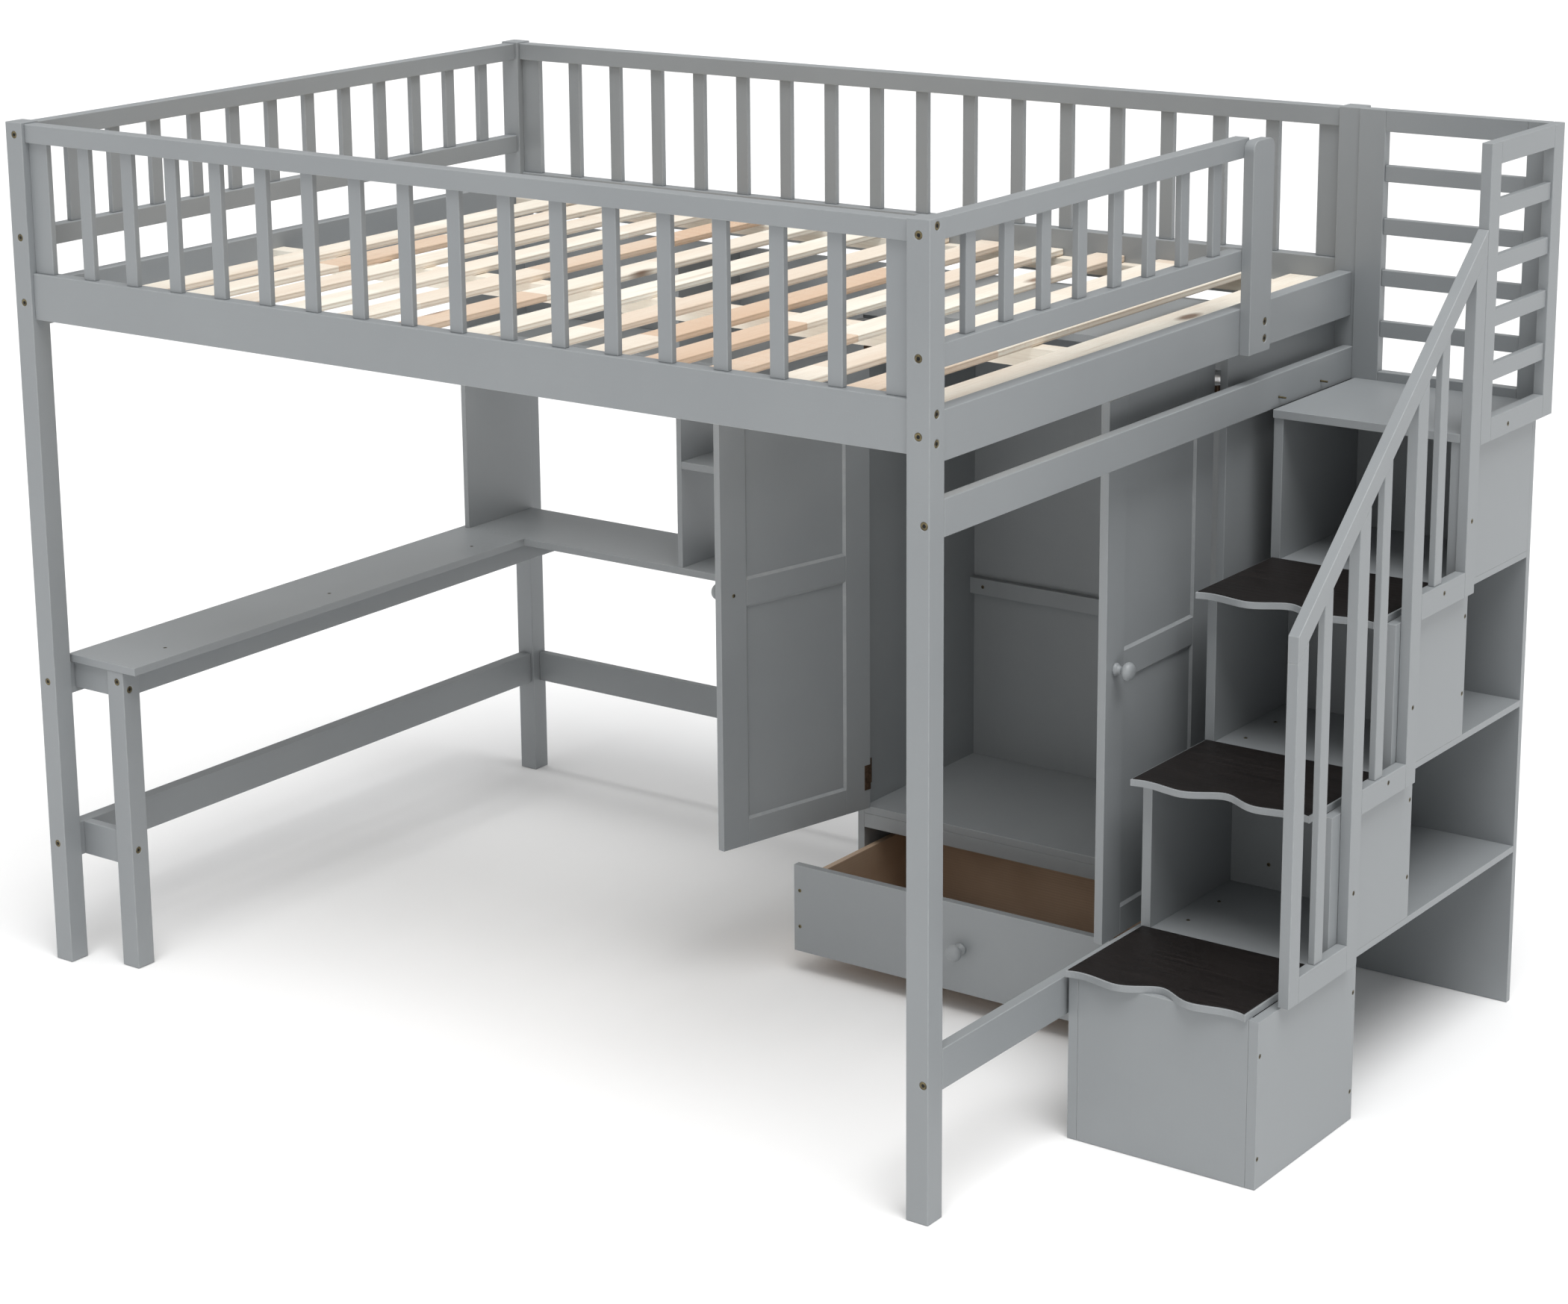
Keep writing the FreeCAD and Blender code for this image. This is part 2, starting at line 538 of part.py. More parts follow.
def banister():
    start_y, start_z = HANDRAIL_START
    end_z = start_z + (HANDRAIL_END_Y - start_y) * HANDRAIL_SLOPE
    rail = prism_x([(start_y, start_z), (HANDRAIL_END_Y, end_z), (HANDRAIL_END_Y, end_z - HANDRAIL_DEEP),
                    (start_y, start_z - HANDRAIL_DEEP)], BANISTER_X)
    posts = []
    for (front, back), low in zip(BANISTER_POSTS_Y, BANISTER_POST_BOTTOMS):
        posts.append(prism_x([(front, low), (back, low), (back, handrail_bottom(back)),
                              (front, handrail_bottom(front))], BANISTER_X))
    middle = around((BANISTER_X[0] + BANISTER_X[1]) / 2, BALUSTER_THICK)
    balusters = []
    rails = []
    for bay, z in enumerate(BOTTOM_RAILS_Z):
        y = around(BANISTER_BALUSTERS_Y[bay], BALUSTER_WIDE)
        balusters.append(prism_x([(y[0], z[1]), (y[1], z[1]), (y[1], handrail_bottom(y[1])),
                                  (y[0], handrail_bottom(y[0]))], middle))
        rails.append(box(BANISTER_X, (BANISTER_POSTS_Y[bay][1], BANISTER_POSTS_Y[bay + 1][0]), z))
    return {"handrail": [rail], "banister_posts": posts, "banister_balusters": balusters,
            "banister_bottom_rails": rails}


def platform_guards():
    right_x = BANISTER_X
    back_y = (STAIR_BACK_Y, PLATFORM_GUARD_Y[1])
    front_stile_y = (PLATFORM_GUARD_Y[0], PLATFORM_GUARD_Y[0] + PLATFORM_STILE)
    back_stile_y = (PLATFORM_GUARD_Y[1] - PLATFORM_STILE, PLATFORM_GUARD_Y[1])
    tall = (PLATFORM_GUARD_BOTTOM, PLATFORM_GUARD_TOP)
    back_right_x = (right_x[0] - PLATFORM_STILE, right_x[0] - JOINT)
    back_left_x = PLATFORM_BACK_STILE_X
    stiles = [
        box(right_x, front_stile_y, tall),
        box(right_x, back_stile_y, tall),
        box(back_right_x, back_y, tall),
        box(back_left_x, back_y, tall),
    ]
    span_y = (front_stile_y[1], back_stile_y[0])
    span_x = (back_left_x[1], back_right_x[0])
    thin_x = around((right_x[0] + right_x[1]) / 2, PLATFORM_SLAT_THICK)
    thin_y = around((back_y[0] + back_y[1]) / 2, PLATFORM_SLAT_THICK)
    slats = []
    for z in PLATFORM_SLATS_Z:
        slats += [box(thin_x, span_y, around(z, PLATFORM_SLAT)), box(span_x, thin_y, around(z, PLATFORM_SLAT))]
    for z in ((PLATFORM_GUARD_BOTTOM, PLATFORM_GUARD_BOTTOM + 41), (PLATFORM_GUARD_TOP - 39, PLATFORM_GUARD_TOP)):
        slats += [box(right_x, span_y, z), box(span_x, back_y, z)]
    return {"platform_guard_stiles": stiles, "platform_guard_slats": slats}


# ---------------------------------------------------------------- fasteners

def fastener(place, direction, head, head_deep, shank, length, sink, extra=0.0):
    """Sunk head with a shank, or with a positive extra the matching hole, open to the surface."""
    inward = FreeCAD.Vector(*direction)
    top = 0.0 if extra else sink
    start = FreeCAD.Vector(*place) + inward * top
    body = Part.makeCylinder(head + extra, sink + head_deep - top, start, inward)
    return body.fuse(Part.makeCylinder(shank + extra, sink + length + extra - top, start, inward)).removeSplitter()


def bolt_places():
    """Centre and inward direction of every frame bolt."""
    right_face = BED_LENGTH
    back_face = BED_DEPTH
    mid_left = SETBACK + RAIL / 2
    mid_right = BED_LENGTH - mid_left
    mid_front = mid_left
    mid_back = BED_DEPTH - mid_front
    places = []
    for z in (1604.0, 1414.0, 1293.0, 562.0, 238.0):
        places.append(((mid_left, 0, z), (0, 1, 0)))
        places.append(((mid_left, back_face, z), (0, -1, 0)))
    for z in (1602.0, 1414.0, 1293.0):
        places.append(((mid_right, 0, z), (0, 1, 0)))
    for z in (1155.0, 239.0):
        places.append(((BED_LENGTH - STRETCHER / 2, 0, z), (0, 1, 0)))
        places.append(((BED_LENGTH - STRETCHER / 2, back_face, z), (0, -1, 0)))
    places.append(((mid_right, back_face, 1293.0), (0, -1, 0)))
    for z in (1615.0, 1327.0, 1281.0):
        for y in (mid_front, mid_back):
            places.append(((right_face, y, z), (-1, 0, 0)))
            places.append(((0, y, z), (1, 0, 0)))
    places.append(((0, BED_DEPTH - STRETCHER / 2 - 1, 254.0), (1, 0, 0)))
    places.append(((right_face, BED_DEPTH - STRETCHER / 2 - 1, 254.0), (-1, 0, 0)))
    entry_face = BED_LENGTH - SETBACK + ENTRY_POST_THICK
    for z in (1300.0, 1270.0):
        places.append(((entry_face, 1040.0, z), (-1, 0, 0)))
    leg_x = LEG_X[1]
    leg_y = LEG_Y[0]
    rail_y = LEG_Y[0] + SETBACK + STRETCHER / 2
    apron_x = LEG_X[1] - SETBACK - STRETCHER / 2
    places.append(((apron_x, leg_y, 572.0), (0, 1, 0)))
    places.append(((leg_x, rail_y, 556.0), (-1, 0, 0)))
    places.append(((leg_x, rail_y, 236.0), (-1, 0, 0)))
    return places


def screw_places():
    """Centre and inward direction of every small panel screw that stays with the bed."""
    outer = STAIR_X[1]
    places = []
    for y, heights in ((424.5, (52, 232)), (754.5, (52, 232)), (947.5, (380, 520)), (1140.5, (660, 800))):
        places += [((outer, y, z), (-1, 0, 0)) for z in heights]
    guard_outer = BANISTER_X[1]
    places += [((guard_outer, y, z), (-1, 0, 0)) for y, z in ((703, 430), (820, 590), (903, 700), (1010, 875),
                                                              (1109, 980), (1240, 1126))]
    stretcher_inner = BED_LENGTH - STRETCHER
    places += [((stretcher_inner, y, z), (1, 0, 0)) for y in (1125, 1284) for z in (1148,)]
    desk_top = DESK_TOP_Z[1]
    places += [((156, y, desk_top), (0, 0, -1)) for y in (180, 640, 1080)]
    for z in (254.5, 1237.5):
        for y in (1060, 1350):
            places.append(((WARDROBE_X[0], y, z), (1, 0, 0)))
            places.append(((WARDROBE_X[1], y, z), (-1, 0, 0)))
    return places


def add_fasteners(nodes):
    """Cut every fastener's hole where it passes and add the fasteners themselves."""
    groups = [
        ("frame_bolts", bolt_places(), (BOLT_HEAD, BOLT_HEAD_DEEP, BOLT_SHANK, BOLT_LENGTH, BOLT_SINK)),
        ("panel_screws", screw_places(), (SCREW_HEAD, SCREW_HEAD_DEEP, SCREW_SHANK, SCREW_LENGTH, SCREW_SINK)),
    ]
    made = {}
    for name, places, sizes in groups:
        made[name] = []
        for place, direction in places:
            made[name].append(fastener(place, direction, *sizes))
            hole = fastener(place, direction, *sizes, extra=FASTENER_GAP)
            for node, solids in nodes.items():
                nodes[node] = [cut_if_near(solid, hole) for solid in solids]
    nodes.update(made)


def cut_if_near(solid, hole):
    """The solid with the hole cut out, where they meet."""
    if not solid.BoundBox.intersect(hole.BoundBox):
        return solid
    if solid.common(hole).Volume < 0.5:
        return solid
    return solid.cut(hole)


def save(nodes):
    os.makedirs("parts", exist_ok=True)
    for old in os.listdir("parts"):
        os.remove(os.path.join("parts", old))
    for name, solids in nodes.items():
        group = Part.makeCompound(solids) if len(solids) > 1 else solids[0]
        group.translate(CENTRE)
        group.exportStep("parts/" + name + ".step")
        print(name, len(group.Solids), group.isValid())


nodes = {}
for make in (corner_posts, bed_and_guard_rails, guard_balusters, entry_post, stretchers, slats_and_supports,
             desk, hutch, wardrobe, doors, drawer, treads, stair_case, banister, platform_guards):
    nodes.update(make())
add_fasteners(nodes)
save(nodes)
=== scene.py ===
import json
import math
import random

import bmesh
import bpy
from mathutils import Euler, Matrix, Vector


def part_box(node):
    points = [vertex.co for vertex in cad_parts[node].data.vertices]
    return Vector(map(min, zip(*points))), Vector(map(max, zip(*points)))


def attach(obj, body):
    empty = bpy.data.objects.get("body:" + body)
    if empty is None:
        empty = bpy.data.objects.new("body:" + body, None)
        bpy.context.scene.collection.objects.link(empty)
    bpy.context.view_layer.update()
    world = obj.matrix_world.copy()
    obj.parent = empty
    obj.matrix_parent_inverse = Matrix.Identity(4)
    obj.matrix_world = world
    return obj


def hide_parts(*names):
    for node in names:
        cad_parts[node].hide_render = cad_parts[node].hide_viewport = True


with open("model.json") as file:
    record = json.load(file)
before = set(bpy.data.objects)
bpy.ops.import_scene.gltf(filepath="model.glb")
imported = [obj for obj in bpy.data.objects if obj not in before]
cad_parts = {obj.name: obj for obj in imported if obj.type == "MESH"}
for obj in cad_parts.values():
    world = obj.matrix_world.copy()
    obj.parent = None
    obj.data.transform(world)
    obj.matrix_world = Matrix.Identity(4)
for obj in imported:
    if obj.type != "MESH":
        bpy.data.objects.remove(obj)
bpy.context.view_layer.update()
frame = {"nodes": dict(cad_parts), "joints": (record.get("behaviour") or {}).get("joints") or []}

# Looks of the loft bed: painted wood, bare pine slats, brown plywood drawer, dark tread covers, small metal
# parts, soft studio light and the camera. Lengths are in metres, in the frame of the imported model.

# ---- colours, linear ----
PAINT = (0.294, 0.311, 0.321)
PAINT_DEEP = (0.270, 0.286, 0.297)
# PAINT_EDGE also colours the rounded edges and the door mouldings, where it is partly a painted highlight
PAINT_EDGE = (0.352, 0.366, 0.373)
PINE_LIGHT = (0.93, 0.90, 0.80)
PINE_DARK = (0.66, 0.44, 0.29)
PINE_GRAIN = (0.46, 0.31, 0.19)
PINE_KNOT = (0.16, 0.08, 0.04)
PLYWOOD = (0.66, 0.51, 0.39)
PLYWOOD_DARK = (0.42, 0.305, 0.215)
TREAD = (0.008, 0.0065, 0.006)
TREAD_GRAIN = (0.017, 0.013, 0.012)
STEEL = (0.62, 0.62, 0.62)
STEEL_DARK = (0.45, 0.45, 0.45)
BRONZE = (0.17, 0.105, 0.065)
BRONZE_DARK = (0.07, 0.045, 0.03)
BRASS = (0.24, 0.20, 0.11)
BRASS_DARK = (0.06, 0.05, 0.035)
# SOCKET colours: near-black painted shade laid on the screw and bolt recesses
SOCKET = (0.012, 0.012, 0.012)
SOCKET_DARK = (0.004, 0.004, 0.004)
FLOOR_TONES = ((0.92, 0.92, 0.92), (0.95, 0.95, 0.95))

# ---- sizes ----
EDGE_ROUNDING = 0.0013
BOARD_ROUNDING = 0.0007
COVER_ROUNDING = 0.0004
WELD_DISTANCE = 0.00003
SAME_POINT = 0.00002
FLAT_ANGLE = 1
EDGE_ANGLE = 40
SLAT_ROUNDING = 0.0022
SLAT_CROWN = 0.0012
SLAT_TOP_MARGIN = 0.0001
STAVE = 0.37
DOOR_STILE = 0.062
DOOR_RAIL = 0.050
DOOR_THICK = 0.016
DOOR_PANEL_THICK = 0.007
DOOR_MID_RAIL = (0.730, 0.780)
DOOR_SIDE_GAP = 0.0015
HINGE_FORWARD = 0.005
DOOR_WIDTH = 0.3715
DOOR_Z = (0.265, 1.226)
DOOR_KNOB_Z = 0.755
DOOR_KNOB_INSET = 0.031
DOOR_OPEN = {"left_door": -103.0, "right_door": 91.0}
MOULDING = 0.0045
MOULDING_TOP = 0.0006
MOULDING_GAP = 0.0002
HINGE_HEIGHTS = (0.328, 1.160)
HINGE_WING = 0.015
HINGE_HALF = 0.025
HINGE_THICK = 0.0010
HINGE_ROUNDING = 0.0003
SCREW_PROFILE = ((0.0036, 0.0), (0.0036, 0.0003), (0.0030, 0.0008), (0.0016, 0.0011), (0.0, 0.0012))
SCREW_CROSS = 0.0019
PANEL_SCREW_CROSS = 0.0022
BOLT_SOCKET = 0.0034
CROSS_ARM = 0.28
RECESS_LIFT = 0.00008
RECESS_TOP = 0.0003
RECESS_TAPER = 0.9
DRAWER_SCREW_INSET = (0.013, 0.05)
RAIL_SCREW_INSET = 0.03
CUBBY_SCREW_INSET = 0.035
CUBBY_FLOOR_SCREWS = (0.105, 0.215)
CUBBY_BACK_SCREW = (0.075, 0.045)
KNOB_PROFILE = ((0.0108, 0.0), (0.0115, 0.0022), (0.0104, 0.0050), (0.0075, 0.0085), (0.0064, 0.0125),
                (0.0080, 0.0155), (0.0122, 0.0186), (0.0152, 0.0222), (0.0160, 0.0260), (0.0148, 0.0305),
                (0.0112, 0.0340), (0.0058, 0.0356), (0.0, 0.0359))

# ---- CAD nodes by look; painted wood has a kind, the axis of its grain and its nodes ----
PAINTED_WOOD = (
    ("long", 0, ("front_bed_rail", "back_bed_rail", "long_guard_rails", "back_stretcher")),
    ("deep", 1, ("end_bed_rails", "end_guard_rails", "right_end_stretchers", "left_end_stretchers")),
    ("tall", 2, ("post_front_left", "post_front_right", "post_back_left", "post_back_right",
                 "long_guard_balusters", "long_guard_stiles", "end_guard_balusters", "entry_post", "desk_leg",
                 "banister_posts", "banister_balusters", "platform_guard_stiles")),
    ("mixed", 1, ("desk_rails", "banister_bottom_rails", "platform_guard_slats", "handrail")),
)
PAINTED_BOARDS = ("desk_top_left", "desk_top_back", "hutch_uprights", "hutch_shelves", "hutch_back_boards",
                  "wardrobe_sides", "wardrobe_back", "wardrobe_top", "wardrobe_floor", "wardrobe_back_rail",
                  "stair_left_panels", "stair_right_panels", "stair_partitions", "stair_shelf_boards",
                  "stair_back_panel", "stair_treads", "left_door_frame", "left_door_panels",
                  "right_door_frame", "right_door_panels", "drawer_front")
PLYWOOD_NODES = ("drawer_box", "drawer_bottom", "drawer_runners")

# ---- camera, light and floor ----
CAMERA_PLACE = (3.6287, -5.0312, 2.5048)
CAMERA_LENS = 80.27
CAMERA_TURN = (75.852, 0.893, 37.245)
CAMERA_SHIFT = (0.070, -0.10)
CAMERA_SENSOR = 36.0
CAMERA_CLIP = (0.05, 200.0)
FLOOR_SIZE = 80.0
FLOOR_DROP = 0.0006
SKY_LOW = 1.0
SKY_HIGH = 0.46
SKY_FADE = 0.05
# name, azimuth and elevation, power, angular size
SUNS = (("key_sun", (54, 69), 2.55, 40), ("soft_sun", (-40, 50), 0.22, 70))


# ---------------------------------------------------------------- shader helpers

class Shader:
    """A material with a Principled shader and short calls for the nodes around it."""

    def __init__(self, name, roughness, metallic=0.0, specular=0.5):
        self.material = bpy.data.materials.new(name)
        self.material.use_nodes = True
        self.tree = self.material.node_tree
        self.bsdf = self.tree.nodes["Principled BSDF"]
        self.bsdf.inputs["Roughness"].default_value = roughness
        self.bsdf.inputs["Metallic"].default_value = metallic
        self.bsdf.inputs["Specular IOR Level"].default_value = specular
        self.coordinates = self.tree.nodes.new("ShaderNodeTexCoord").outputs["Object"]

    def link(self, start, end):
        """Joins two sockets."""
        self.tree.links.new(start, end)

    def stretched(self, scale):
        """Object coordinates scaled along each axis."""
        node = self.tree.nodes.new("ShaderNodeMapping")
        node.inputs["Scale"].default_value = scale
        self.link(self.coordinates, node.inputs["Vector"])
        return node.outputs["Vector"]

    def noise(self, scale, detail=3.0, roughness=0.5, distortion=0.0):
        """Fractal noise; scale is one number or one for each axis."""
        node = self.tree.nodes.new("ShaderNodeTexNoise")
        scales = (scale,) * 3 if isinstance(scale, (int, float)) else scale
        self.link(self.stretched(scales), node.inputs["Vector"])
        node.inputs["Scale"].default_value = 1.0
        node.inputs["Detail"].default_value = detail
        node.inputs["Roughness"].default_value = roughness
        node.inputs["Distortion"].default_value = distortion
        return node.outputs["Fac"]

    def cells(self, scale, randomness=1.0):
        """Distance to the nearest point of a random pattern."""
        node = self.tree.nodes.new("ShaderNodeTexVoronoi")
        self.link(self.stretched(scale), node.inputs["Vector"])
        node.inputs["Scale"].default_value = 1.0
        node.inputs["Randomness"].default_value = randomness
        return node.outputs["Distance"]

    def rings(self, scale, distortion, bands):
        """Soft parallel lines across one axis, bent by noise."""
        node = self.tree.nodes.new("ShaderNodeTexWave")
        node.wave_type = "BANDS"
        node.bands_direction = bands
        self.link(self.stretched(scale), node.inputs["Vector"])
        node.inputs["Scale"].default_value = 1.0
        node.inputs["Distortion"].default_value = distortion
        node.inputs["Detail"].default_value = 3.0
        node.inputs["Detail Scale"].default_value = 1.2
        return node.outputs["Fac"]

    def tint(self):
        """The value each mesh carries in its tint attribute."""
        node = self.tree.nodes.new("ShaderNodeAttribute")
        node.attribute_name = "tint"
        return node.outputs["Fac"]

    def math(self, operation, first, second=0.0):
        """Arithmetic on two values; each is a number or a socket."""
        node = self.tree.nodes.new("ShaderNodeMath")
        node.operation = operation
        for socket, value in zip(node.inputs, (first, second)):
            if isinstance(value, (int, float)):
                socket.default_value = value
            else:
                self.link(value, socket)
        return node.outputs["Value"]

    def stave(self, axis, length):
        """Random value for each glued length of wood along an axis."""
        parts = self.tree.nodes.new("ShaderNodeSeparateXYZ")
        self.link(self.coordinates, parts.inputs["Vector"])
        number = self.math("FLOOR", self.math("DIVIDE", parts.outputs[axis], length))
        key = self.tree.nodes.new("ShaderNodeCombineXYZ")
        self.link(number, key.inputs["X"])
        self.link(self.tint(), key.inputs["Y"])
        dice = self.tree.nodes.new("ShaderNodeTexWhiteNoise")
        self.link(key.outputs["Vector"], dice.inputs["Vector"])
        return dice.outputs["Value"]

    def spread(self, value, low, high, to_low=0.0, to_high=1.0):
        """Maps a value from one range to another and clamps it."""
        node = self.tree.nodes.new("ShaderNodeMapRange")
        self.link(value, node.inputs["Value"])
        node.inputs["From Min"].default_value = low
        node.inputs["From Max"].default_value = high
        node.inputs["To Min"].default_value = to_low
        node.inputs["To Max"].default_value = to_high
        return node.outputs["Result"]

    def blend(self, share, first, second):
        """Mix of two colours; each is a colour or a socket."""
        node = self.tree.nodes.new("ShaderNodeMix")
        node.data_type = "RGBA"
        self.link(share, node.inputs["Factor"])
        for socket, colour in ((node.inputs[6], first), (node.inputs[7], second)):
            if isinstance(colour, tuple):
                socket.default_value = (*colour, 1.0)
            else:
                self.link(colour, socket)
        return node.outputs[2]

    def bump(self, height, strength, distance, below=None):
        """Bump from a height, on top of another bump if one is given."""
        node = self.tree.nodes.new("ShaderNodeBump")
        node.inputs["Strength"].default_value = strength
        node.inputs["Distance"].default_value = distance
        self.link(height, node.inputs["Height"])
        if below is not None:
            self.link(below, node.inputs["Normal"])
        return node.outputs["Normal"]

    def finish(self, colour, normal, roughness=None):
        """Connects colour, normal and, if given, roughness, and returns the material."""
        self.link(colour, self.bsdf.inputs["Base Color"])
        self.link(normal, self.bsdf.inputs["Normal"])
        if roughness is not None:
            self.link(roughness, self.bsdf.inputs["Roughness"])
        return self.material


def along(axis, length_scale, cross_scale):
    """Texture scale that stretches a pattern along one axis."""
    return tuple(length_scale if i == axis else cross_scale for i in range(3))


# ---------------------------------------------------------------- materials

def paint(name, axis, grain):
    """Satin grey paint over wood: faint grain, spray texture, slightly uneven tone and gloss."""
    s = Shader(name, 0.42)
    blotches = s.spread(s.noise(2.6, 4.0, 0.6), 0.3, 0.7)
    colour = s.blend(blotches, PAINT_DEEP, PAINT)
    streaks = s.noise(along(axis, 5.0, 160.0), 5.0, 0.65)
    colour = s.blend(s.spread(streaks, 0.55, 0.85, 0.0, 0.35), colour, PAINT_DEEP)
    specks = s.noise(420.0, 1.0, 0.5)
    colour = s.blend(s.spread(specks, 0.62, 0.80, 0.0, 0.16), colour, PAINT_EDGE)
    normal = s.bump(streaks, grain, 0.0006)
    normal = s.bump(s.noise(650.0, 1.0), 0.10, 0.0003, normal)
    return s.finish(colour, normal, s.spread(blotches, 0.0, 1.0, 0.36, 0.48))


def paint_edge():
    """The same paint where edges are rounded, lighter there: partly a little worn paint, partly a painted
    highlight along the rounded edges.
    """
    s = Shader("painted_edges", 0.5)
    # lighter patches along the edges: partly worn paint, partly a painted highlight on the rounded edges
    rubbed_and_highlight = s.spread(s.noise(38.0, 4.0, 0.7), 0.35, 0.75)
    colour = s.blend(rubbed_and_highlight, PAINT, PAINT_EDGE)
    return s.finish(colour, s.bump(s.noise(300.0, 2.0), 0.12, 0.0004))


def pine(name, axis):
    """Bare sanded pine with grain lines, knots and a tone of its own for each slat and each stave in it."""
    s = Shader(name, 0.62, specular=0.35)
    mixed = s.math("ADD", s.math("MULTIPLY", s.tint(), 0.4), s.math("MULTIPLY", s.stave(axis, STAVE), 0.6))
    tone = s.blend(s.spread(mixed, 0.38, 0.85), PINE_LIGHT, PINE_DARK)
    cloud = s.spread(s.noise(along(axis, 1.6, 12.0), 3.0), 0.35, 0.75, 0.0, 0.4)
    colour = s.blend(cloud, tone, PINE_DARK)
    lines = s.rings(along(axis, 2.4, 46.0), 3.2, "XYZ"[(axis + 1) % 3])
    colour = s.blend(s.spread(lines, 0.55, 1.0, 0.0, 0.42), colour, PINE_GRAIN)
    fibres = s.noise(along(axis, 14.0, 520.0), 4.0, 0.7)
    colour = s.blend(s.spread(fibres, 0.5, 0.8, 0.0, 0.35), colour, PINE_GRAIN)
    knots = s.cells(along(axis, 2.3, 6.0))
    colour = s.blend(s.spread(knots, 0.05, 0.11, 0.85, 0.0), colour, PINE_KNOT)
    normal = s.bump(fibres, 0.22, 0.0006)
    normal = s.bump(lines, 0.10, 0.0005, normal)
    return s.finish(colour, normal, s.spread(fibres, 0.3, 0.7, 0.55, 0.72))


def plywood():
    """Brown stained plywood of the drawer box."""
    s = Shader("brown_plywood", 0.5, specular=0.4)
    lines = s.rings((3.0, 3.0, 60.0), 2.6, "Z")
    fibres = s.noise((9.0, 9.0, 420.0), 5.0, 0.7)
    colour = s.blend(s.spread(s.noise(4.0, 3.0), 0.3, 0.7), PLYWOOD, PLYWOOD_DARK)
    colour = s.blend(s.spread(lines, 0.5, 1.0, 0.0, 0.45), colour, PLYWOOD_DARK)
    colour = s.blend(s.spread(fibres, 0.5, 0.85, 0.0, 0.4), colour, PLYWOOD_DARK)
    return s.finish(colour, s.bump(fibres, 0.2, 0.0005))


def tread_cover():
    """Dark brown, faintly grained non-slip cover."""
    s = Shader("dark_tread_cover", 0.5, specular=0.3)
    grain = s.noise((8.0, 150.0, 150.0), 5.0, 0.7)
    colour = s.blend(s.spread(grain, 0.4, 0.75), TREAD, TREAD_GRAIN)
    pimples = s.cells((520.0, 520.0, 520.0), 0.25)
    normal = s.bump(pimples, 0.35, 0.0004)
    normal = s.bump(grain, 0.15, 0.0004, normal)
    return s.finish(colour, normal, s.spread(grain, 0.3, 0.7, 0.42, 0.6))


def metal(name, colour, dark, roughness, metallic=0.85):
    """Small metal parts with tarnish and fine scratches; also the near-black painted shade of the screw and
    bolt recesses.
    """
    s = Shader(name, roughness, metallic)
    tarnish = s.spread(s.noise(130.0, 4.0, 0.7), 0.35, 0.7)
    mixed = s.blend(tarnish, colour, dark)
    scratches = s.noise((40.0, 900.0, 900.0), 3.0)
    gloss = s.spread(tarnish, 0.0, 1.0, roughness, roughness + 0.2)
    return s.finish(mixed, s.bump(scratches, 0.08, 0.0002), gloss)


def floor_material():
    """Pale matt studio floor."""
    s = Shader("studio_floor", 0.85, specular=0.1)
    cloud = s.spread(s.noise(0.8, 2.0), 0.3, 0.7)
    colour = s.blend(cloud, *FLOOR_TONES)
    return s.finish(colour, s.bump(s.noise(60.0, 2.0), 0.02, 0.0005))


# ---------------------------------------------------------------- mesh helpers

def shown(name, mesh, body, material):
    """Object for a finished mesh that rides on a CAD body."""
    obj = bpy.data.objects.new(name, mesh)
    bpy.context.scene.collection.objects.link(obj)
    mesh.materials.append(material)
    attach(obj, body)
    return obj


def loose_parts(node):
    """Lowest corner, highest corner and points of every separate solid of a CAD node."""
    work = bmesh.new()
    work.from_mesh(frame["nodes"][node].data)
    bmesh.ops.remove_doubles(work, verts=work.verts, dist=SAME_POINT)
    unseen = set(work.verts)
    parts = []
    while unseen:
        stack = [unseen.pop()]
        members = list(stack)
        while stack:
            for edge in stack.pop().link_edges:
                for vertex in edge.verts:
                    if vertex in unseen:
                        unseen.remove(vertex)
                        stack.append(vertex)
                        members.append(vertex)
        low = Vector(min(v.co[i] for v in members) for i in range(3))
        high = Vector(max(v.co[i] for v in members) for i in range(3))
        parts.append((low, high, [v.co.copy() for v in members]))
    work.free()
    parts.sort(key=lambda part: tuple(part[0]))
    return parts


def rounded(node, width, material, edge_material):
    """Materials for a CAD node whose edges get a small rounding."""
    obj = frame["nodes"][node]
    mesh = obj.data
    mesh.materials.clear()
    mesh.materials.append(material)
    mesh.materials.append(edge_material)
    mesh.polygons.foreach_set("use_smooth", [False] * len(mesh.polygons))
    mesh.polygons.foreach_set("material_index", [0] * len(mesh.polygons))
    if "custom_normal" in mesh.attributes:
        mesh.attributes.remove(mesh.attributes["custom_normal"])
    weld = obj.modifiers.new("weld", "WELD")
    weld.merge_threshold = WELD_DISTANCE
    flatten = obj.modifiers.new("flat_faces", "DECIMATE")
    flatten.decimate_type = "DISSOLVE"
    flatten.angle_limit = math.radians(FLAT_ANGLE)
    bevel = obj.modifiers.new("rounding", "BEVEL")
    bevel.width = width
    bevel.segments = 2
    bevel.limit_method = "ANGLE"
    bevel.angle_limit = math.radians(EDGE_ANGLE)
    bevel.use_clamp_overlap = False
    bevel.loop_slide = False
    # the rounded faces take the second material; on painted wood that is the lighter edge paint, partly a
    # painted highlight
    bevel.material = 1


def plain(node, material):
    """One material for a CAD node that keeps its own shading."""
    mesh = frame["nodes"][node].data
    mesh.materials.clear()
    mesh.materials.append(material)


# ---------------------------------------------------------------- pieces

